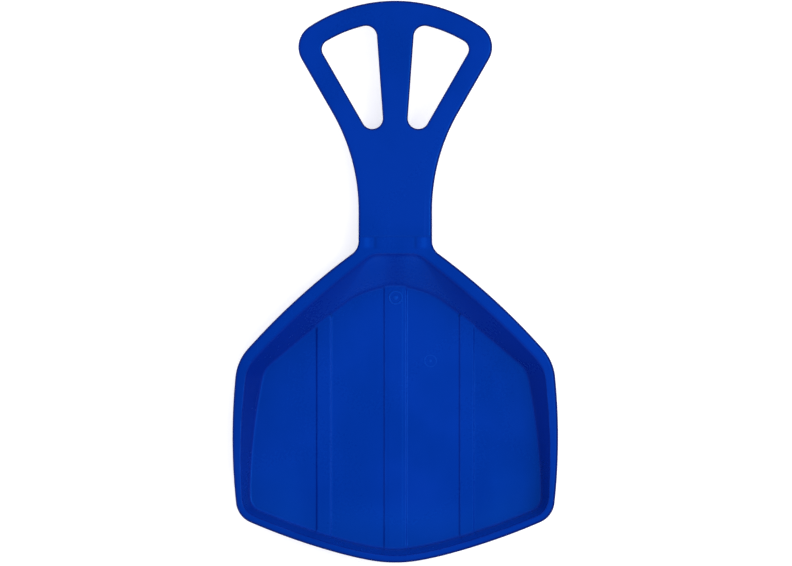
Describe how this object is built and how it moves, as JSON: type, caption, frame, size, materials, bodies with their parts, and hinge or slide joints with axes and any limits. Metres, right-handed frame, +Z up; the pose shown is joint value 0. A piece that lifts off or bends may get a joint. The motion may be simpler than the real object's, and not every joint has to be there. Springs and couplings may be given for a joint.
{
  "type": "snow glider",
  "caption": "Shallow moulded seat pan with a rounded pentagonal outline, ribbed floor and a flat flexing neck that ends in a fan-shaped open grip, for gliding on snow.",
  "frame": {"origin": "bottom centre of the whole object's box, on the ground under the flat floor of the seat pan", "axes": "+X to the sitter's left-right axis, the object is symmetric across it; +Y lengthwise from the rear of the pan to the grip; +Z up, out of the side one sits on"},
  "size_m": [0.3252, 0.561, 0.042],
  "materials": {
    "blue_polyethylene": "satin moulded high-density polyethylene, coloured through"
  },
  "bodies": {
    "pan": {"floor_inner_left": "blue_polyethylene", "floor_inner_right": "blue_polyethylene", "floor_outer_left": "blue_polyethylene", "floor_outer_right": "blue_polyethylene", "floor_rib_left": "blue_polyethylene", "floor_rib_middle": "blue_polyethylene", "floor_rib_right": "blue_polyethylene", "front_rim_left": "blue_polyethylene", "front_rim_right": "blue_polyethylene", "front_wall_left": "blue_polyethylene", "front_wall_middle": "blue_polyethylene", "front_wall_right": "blue_polyethylene", "neck_root": "blue_polyethylene", "rear_rim_left": "blue_polyethylene", "rear_rim_right": "blue_polyethylene", "rear_wall_left": "blue_polyethylene", "rear_wall_right": "blue_polyethylene", "side_rim_left": "blue_polyethylene", "side_rim_right": "blue_polyethylene", "side_wall_left": "blue_polyethylene", "side_wall_right": "blue_polyethylene", "flex_web": "blue_polyethylene"},
    "handle": {"neck_plate": "blue_polyethylene", "grip_bar_middle": "blue_polyethylene", "grip_bar_left": "blue_polyethylene", "grip_bar_right": "blue_polyethylene", "grip_bow_left": "blue_polyethylene", "grip_bow_right": "blue_polyethylene"}
  },
  "joints": [
    {"name": "neck_flex", "type": "hinge", "parent": "pan", "child": "handle", "pos_m": [0, 0.039, 0.042], "axis": [1, 0, 0], "range_deg": [0, 60], "stiffness_Nm_per_rad": 1.7, "deforming": ["flex_web"]}
  ]
}
